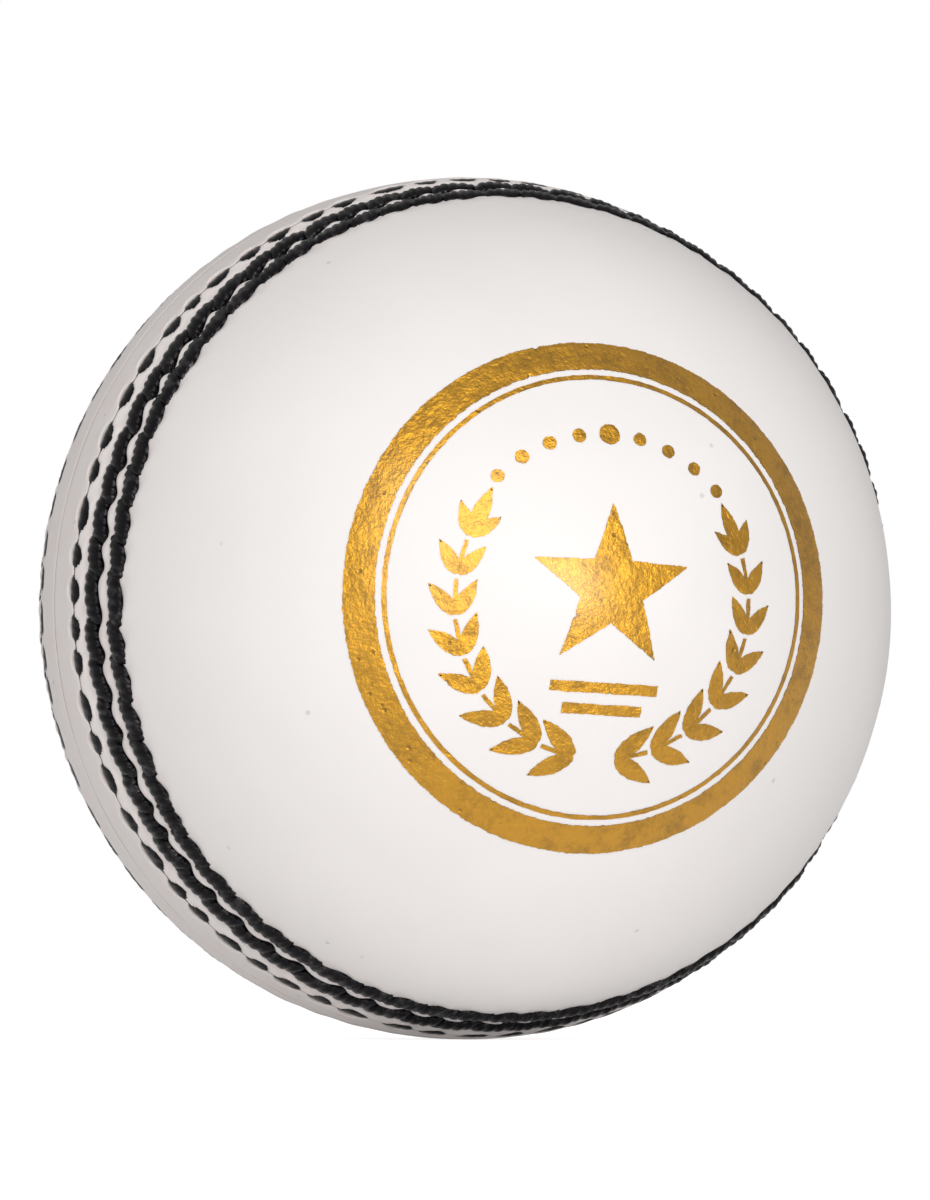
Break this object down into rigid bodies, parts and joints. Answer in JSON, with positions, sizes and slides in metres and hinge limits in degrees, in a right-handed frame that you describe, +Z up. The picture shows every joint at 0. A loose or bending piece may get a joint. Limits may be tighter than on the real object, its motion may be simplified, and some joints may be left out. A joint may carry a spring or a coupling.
{
  "type": "cricket ball",
  "caption": "Round leather-covered ball of cork and wound yarn, with a raised stitched seam around it and a foil stamp on one side.",
  "frame": {"origin": "centre of the ball", "axes": "+Y is the seam's axis, so the seam stands upright in the XZ plane; the cup with the foil stamp is on the -Y side; +Z up"},
  "size_m": [0.0728, 0.072, 0.0728],
  "materials": {
    "cover_leather": "white semi-gloss coating over moulded leather, with a fine streaked grain, pits and puckers beside the stitches",
    "seam_thread": "waxed black linen thread, three plies twisted, slightly glossy",
    "stamp_foil": "thin gold hot-stamped foil, finely crackled, with ragged edges",
    "wound_yarn": "undyed wool worsted, wound tight in crossing turns",
    "cork": "sheet cork cut in strips, matt, with open grain",
    "cork_rubber": "moulded cork granules in rubber, matt"
  },
  "bodies": {
    "root": {"cover_cup_front": "cover_leather", "cover_cup_back": "cover_leather", "thread_front_inner": "seam_thread", "thread_front_middle": "seam_thread", "thread_front_outer": "seam_thread", "thread_back_inner": "seam_thread", "thread_back_middle": "seam_thread", "thread_back_outer": "seam_thread", "yarn_winding_outer": "wound_yarn", "yarn_winding_middle": "wound_yarn", "yarn_winding_inner": "wound_yarn", "cork_strip_outer_1": "cork", "cork_strip_outer_2": "cork", "cork_strip_outer_3": "cork", "cork_strip_outer_4": "cork", "cork_strip_middle_1": "cork", "cork_strip_middle_2": "cork", "cork_strip_middle_3": "cork", "cork_strip_middle_4": "cork", "cork_strip_inner_1": "cork", "cork_strip_inner_2": "cork", "cork_strip_inner_3": "cork", "cork_strip_inner_4": "cork", "nucleus": "cork_rubber"}
  },
  "joints": []
}
